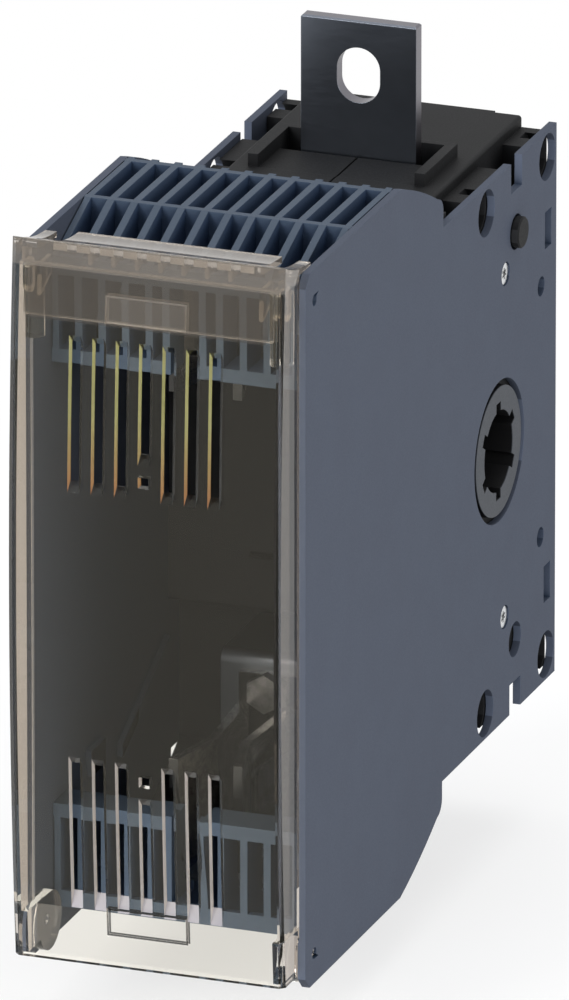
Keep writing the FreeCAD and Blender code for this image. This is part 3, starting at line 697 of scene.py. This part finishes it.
@dataclass(frozen=True)
class ClearFitting(ClearPlastic):
    """Clear plastic of the small parts inside the cover, with a painted highlight on faces that look up and down."""

    tint: Colour = (0.97, 0.955, 0.93)
    # Painted highlight on the faces that look up and down.
    cut: Tone = Tone((0.62, 0.58, 0.54), stops=0.45)
    front_turn: float = 0.85

    def material(self) -> bpy.types.Material:
        """Build the material.

        Returns:
            The finished material.
        """
        graph = MaterialGraph(self.name)
        turn_x, turn_y, _ = graph.parts(Coordinate.FACING)
        # Faces that look up and down, which take the painted highlight.
        edge = graph.every(graph.under(graph.size(turn_x), TURNED), graph.under(graph.size(turn_y), self.front_turn))
        colour = graph.blend(edge, self.tint, self.cut.colour)
        return self.cast(graph, colour, graph.math("MULTIPLY", edge, self.cut.stops))


def both(stem: str, first: str = "upper", second: str = "lower") -> list[str]:
    """The names of a pair of nodes."""
    return [f"{stem}_{first}", f"{stem}_{second}"]


@dataclass
class SubAssembly:
    """Nodes of the frame that belong together."""

    nodes: dict[str, bpy.types.Object]

    def give(self, names: list[str], material: bpy.types.Material) -> None:
        """Give nodes a finish.

        Args:
            names: The nodes.
            material: The finish.
        """
        for name in names:
            mesh = self.nodes[name].data
            mesh.materials.clear()
            mesh.materials.append(material)
            log.info("dressed %s with %s", name, material.name)


@dataclass
class PoleBody(SubAssembly):
    """Side plates, base halves, dowels and plate screws."""

    def dress(self) -> None:
        """Give the body's nodes their finishes."""
        # Painted light brightens the plates' front faces and their ribs; painted shade darkens their hollows navy
        # and their walls in the fuse compartment.
        plate = Moulding(
            "plate_moulding",
            colour=(0.056, 0.067, 0.094),
            shade=(0.054, 0.064, 0.09),
            edge=(0.085, 0.105, 0.14),
            roughness=0.7,
            shine=0.2,
            painted_front_light=2.1,
            hollow_shade=(0.018, 0.036, 0.07),
            inner=(0.3, 0.34, 0.4),
            inner_x=29.7 * MM,
            bay_shade=(0.005, 0.005, 0.007),
        )
        # Painted light brightens the front faces; painted shade darkens the hollows.
        black = Moulding(
            "black_moulding",
            colour=(0.012, 0.0122, 0.013),
            shade=(0.0105, 0.0108, 0.0115),
            edge=(0.022, 0.022, 0.024),
            roughness=0.62,
            shine=0.12,
            painted_front_light=2.6,
            shade_reach=7 * MM,
        )
        zinc = PlainMetal("zinc_plating", colour=(0.72, 0.73, 0.74), tarnish=(0.55, 0.55, 0.54), roughness=0.28)
        self.give(both("side_plate", "left", "right"), plate.material())
        self.give(both("base_half", "left", "right") + both("dowel", "left", "right"), black.material())
        self.give(["plate_screws"], zinc.material())


@dataclass
class VentGrilles(SubAssembly):
    """The two ribbed grilles."""

    def dress(self) -> None:
        """Give the grilles their finish."""
        # Painted light brightens the front faces; painted shade darkens the hollows dark blue.
        finish = Moulding(
            "grille_moulding",
            colour=(0.045, 0.063, 0.092),
            shade=(0.042, 0.06, 0.088),
            edge=(0.075, 0.1, 0.135),
            roughness=0.6,
            painted_front_light=1.9,
            hollow_shade=(0.028, 0.05, 0.1),
        )
        self.give(both("grille"), finish.material())


@dataclass
class CurrentPath(SubAssembly):
    """Terminals, fuse bars, fuse contacts with their springs and screws, and quenching plates."""

    def dress(self) -> None:
        """Give the current path its finishes."""
        strap = RolledMetal("rolled_strap", face=(0.18, 0.2, 0.235), cut=(0.155, 0.15, 0.17))
        silver = PlainMetal(
            "silvered_contact",
            colour=(0.8, 0.78, 0.75),
            tarnish=(0.5, 0.49, 0.48),
            roughness=0.2,
            end=(0.07, 0.07, 0.07),
        )
        steel = PlainMetal(
            "spring_leaf_steel",
            colour=(0.7, 0.7, 0.71),
            tarnish=(0.42, 0.42, 0.41),
            roughness=0.2,
            end=(0.08, 0.08, 0.08),
        )
        zinc = PlainMetal("screw_zinc", colour=(0.3, 0.3, 0.31), tarnish=(0.16, 0.16, 0.16), roughness=0.3)
        self.give(both("terminal") + both("fuse_bar"), strap.material())
        self.give(both("fuse_contact"), silver.material())
        self.give(both("contact_springs") + both("quench_plates"), steel.material())
        self.give(both("contact_screws"), zinc.material())


@dataclass
class Rotor(SubAssembly):
    """The drive hub and its moving blades."""

    def dress(self) -> None:
        """Give the rotor its finishes."""
        # Painted shade darkens the hub's hollows, and its bore nearer the middle takes a near-black colour.
        drum = Moulding(
            "hub_moulding",
            colour=(0.042, 0.047, 0.056),
            shade=(0.038, 0.043, 0.052),
            edge=(0.06, 0.065, 0.072),
            roughness=0.55,
            inner=(0.002, 0.002, 0.0025),
            inner_x=32.6 * MM,
        )
        blade = PlainMetal("blade_copper", colour=(0.72, 0.5, 0.35), tarnish=(0.5, 0.34, 0.24), roughness=0.25)
        self.give(["drive_hub"], drum.material())
        self.give(both("moving_blade"), blade.material())


@dataclass
class Cover(SubAssembly):
    """The clear fuse cover with its head panel, corner ribs and latch posts."""

    top: float = 88.8 * MM
    bottom: float = -79.3 * MM
    edge_front: float = 175.0 * MM
    bulge: float = 3.3 * MM
    wall: float = 2.0 * MM
    gap: float = 0.05 * MM
    panel_half: float = 29.0 * MM
    panel_z: Span = (70.9 * MM, 82.4 * MM)
    panel_t: float = 1.2 * MM
    rib_x: Span = (25.3 * MM, 26.3 * MM)
    rib_back: float = 165.8 * MM
    rib_foot: Span = (77.9 * MM, 75.0 * MM)
    post_x: Span = (28.2 * MM, 29.95 * MM)
    post_depth: Span = (168.4 * MM, 172.0 * MM)
    post_z: Span = (74.5 * MM, 82.3 * MM)
    post_nose: float = 1.4 * MM
    round_off: float = 0.2 * MM
    round_steps: int = 2

    def inner_front(self, z: float, behind: float = 0.0) -> float:
        """How far forward the inside of the bowed front wall lies at a height.

        Args:
            z: The height.
            behind: A further distance behind that face.

        Returns:
            The depth, in metres in front of the pole's back.
        """
        half = (self.top - self.bottom) / 2
        middle = (self.top + self.bottom) / 2
        radius = (half * half + self.bulge * self.bulge) / (2 * self.bulge)
        face = self.edge_front + self.bulge - radius + math.sqrt(radius ** 2 - (z - middle) ** 2)
        return face - self.wall - self.gap - behind

    def prism(self, name: str, outline: list[Span], x0: float, x1: float) -> bpy.types.Object:
        """Add a piece with one side outline and lightly broken edges, which moves with the cover.

        Args:
            name: Its name.
            outline: Its corners as depth and height.
            x0: Its left side.
            x1: Its right side.

        Returns:
            The piece.
        """
        shape = bmesh.new()
        corners = [shape.verts.new((x0, -depth, z)) for depth, z in outline]
        face = shape.faces.new(corners)
        pushed = bmesh.ops.extrude_face_region(shape, geom=[face])
        moved = [item for item in pushed["geom"] if isinstance(item, bmesh.types.BMVert)]
        bmesh.ops.translate(shape, verts=moved, vec=(x1 - x0, 0.0, 0.0))
        bmesh.ops.recalc_face_normals(shape, faces=shape.faces)
        bmesh.ops.bevel(
            shape, geom=list(shape.edges), offset=self.round_off, segments=self.round_steps, affect="EDGES"
        )
        mesh = bpy.data.meshes.new(name)
        shape.to_mesh(mesh)
        shape.free()
        piece = bpy.data.objects.new(name, mesh)
        bpy.context.scene.collection.objects.link(piece)
        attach(piece, "cover")
        return piece

    def fittings(self) -> list[bpy.types.Object]:
        """Build the head panel behind the front wall, and a rib and a latch post in each upper corner.

        Returns:
            The five pieces.
        """
        low, high = self.panel_z
        panel = [(self.inner_front(low), low), (self.inner_front(high), high)]
        panel += [(self.inner_front(high, self.panel_t), high), (self.inner_front(low, self.panel_t), low)]
        pieces = [self.prism("head_panel", panel, -self.panel_half, self.panel_half)]
        rear_foot, front_foot = self.rib_foot
        behind = self.panel_t + self.gap
        rib = [(self.rib_back, high), (self.rib_back, rear_foot), (self.inner_front(front_foot, behind), front_foot)]
        rib.append((self.inner_front(high, behind), high))
        back, front = self.post_depth
        foot, head = self.post_z
        nose = self.post_nose
        post = [(back, head), (back, foot + nose), (back + nose, foot), (front, foot + nose), (front, head)]
        for side, sign in (("left", -1), ("right", 1)):
            pieces.append(self.prism(f"corner_rib_{side}", rib, *sorted(sign * x for x in self.rib_x)))
            pieces.append(self.prism(f"latch_post_{side}", post, *sorted(sign * x for x in self.post_x)))
        return pieces

    def dress(self) -> None:
        """Give the cover and its fittings their finish."""
        self.give(["fuse_cover"], SmokedClear("smoked_polycarbonate").material())
        finish = ClearFitting("clear_fitting").material()
        for piece in self.fittings():
            piece.data.materials.append(finish)
            log.info("built %s", piece.name)


@dataclass(frozen=True)
class Lamp:
    """A square soft lamp, by its place around the point that it faces, its side and its power in watts."""

    name: str
    offset: Triple
    side: float
    power: float

    def hang(self, aim: Vector) -> None:
        """Hang the lamp.

        Args:
            aim: The point that it faces.
        """
        data = bpy.data.lights.new(self.name, "AREA")
        data.size = self.side
        data.energy = self.power
        lamp = bpy.data.objects.new(self.name, data)
        lamp.location = aim + Vector(self.offset)
        lamp.rotation_euler = (-Vector(self.offset)).to_track_quat("-Z", "Y").to_euler()
        bpy.context.scene.collection.objects.link(lamp)


@dataclass
class Studio:
    """Floor, world, lamps and camera around the part's box.

    The key lamp stands at the upper left front, the fill at the right, and a third lamp above.
    """

    low: Vector
    high: Vector
    azimuth: float = math.radians(20)
    elevation: float = math.radians(20)
    lens: float = 900.0
    distance: float = 5.55
    sight_end: float = 50.0
    target: Triple = (0.9 * MM, -90 * MM, 2.3 * MM)
    sky: Colour = (0.93, 0.96, 1.0)
    sky_level: float = 0.5
    floor_colour: Colour = (0.95, 0.95, 0.95)
    floor_half: float = 3.0
    floor_gap: float = 0.2 * MM
    fade: Span = (0.12, 0.45)
    shadow_keep: float = 0.3
    key: Lamp = Lamp("key", offset=(-0.9, -1.3, 1.1), side=0.9, power=16.0)
    fill: Lamp = Lamp("fill", offset=(1.4, -0.5, 0.5), side=1.1, power=12.0)
    overhead: Lamp = Lamp("top", offset=(0.1, 0.3, 1.6), side=1.0, power=12.0)

    def build(self) -> None:
        """Make everything around the part."""
        self.world()
        self.floor()
        for lamp in (self.key, self.fill, self.overhead):
            lamp.hang((self.low + self.high) / 2)
        self.camera()
        bpy.context.scene.view_settings.view_transform = "Standard"

    def world(self) -> None:
        """A white surround for the eye and its reflections, and an even soft light for the rest."""
        world = bpy.data.worlds.new("surround")
        bpy.context.scene.world = world
        world.use_nodes = True
        graph = Graph(world.node_tree, "OutputWorld")
        soft = graph.node("Background", {"Color": self.sky, "Strength": self.sky_level})
        white = graph.node("Background", {"Color": WHITE, "Strength": 1.0})
        graph.show(graph.between(graph.straight_sight(), soft, white))

    def floor(self) -> None:
        """A pale floor that fades into the white surround away from the part."""
        half = self.floor_half
        level = self.low.z - self.floor_gap
        mesh = bpy.data.meshes.new("studio_floor")
        corners = [(-half, -half, level), (half, -half, level), (half, half, level), (-half, half, level)]
        mesh.from_pydata(corners, [], [(0, 1, 2, 3)])
        plane = bpy.data.objects.new("studio_floor", mesh)
        bpy.context.scene.collection.objects.link(plane)
        graph = MaterialGraph("pale_floor")
        place = graph.node("TexCoord").outputs[Coordinate.PLACE.value]
        away = graph.node("VectorMath", {"Vector": place}, operation="LENGTH").outputs["Value"]
        white = graph.every(graph.span(away, self.fade, (1.0 - self.shadow_keep, 1.0)), graph.straight_sight())
        matt = graph.node("BsdfDiffuse", {"Color": self.floor_colour})
        glow = graph.node("Emission", {"Color": WHITE, "Strength": 1.0})
        graph.show(graph.between(white, matt, glow))
        mesh.materials.append(graph.material)
        plane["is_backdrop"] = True

    def camera(self) -> None:
        """Stand the camera where the photograph was taken from."""
        data = bpy.data.cameras.new("viewpoint")
        data.lens = self.lens
        data.clip_end = self.sight_end
        camera = bpy.data.objects.new("viewpoint", data)
        flat = math.cos(self.elevation)
        back = Vector((math.sin(self.azimuth) * flat, -math.cos(self.azimuth) * flat, math.sin(self.elevation)))
        camera.location = Vector(self.target) + back * self.distance
        camera.rotation_euler = (-back).to_track_quat("-Z", "Y").to_euler()
        bpy.context.scene.collection.objects.link(camera)
        bpy.context.scene.camera = camera


def main() -> None:
    """Load the frame, dress each sub-assembly and set up the studio."""
    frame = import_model()
    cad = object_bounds()
    nodes = frame["nodes"]
    for part in (PoleBody(nodes), VentGrilles(nodes), CurrentPath(nodes), Rotor(nodes), Cover(nodes)):
        part.dress()
        log.info("finished %s", type(part).__name__)
    Studio(*cad).build()


if __name__ == "__main__":
    main()
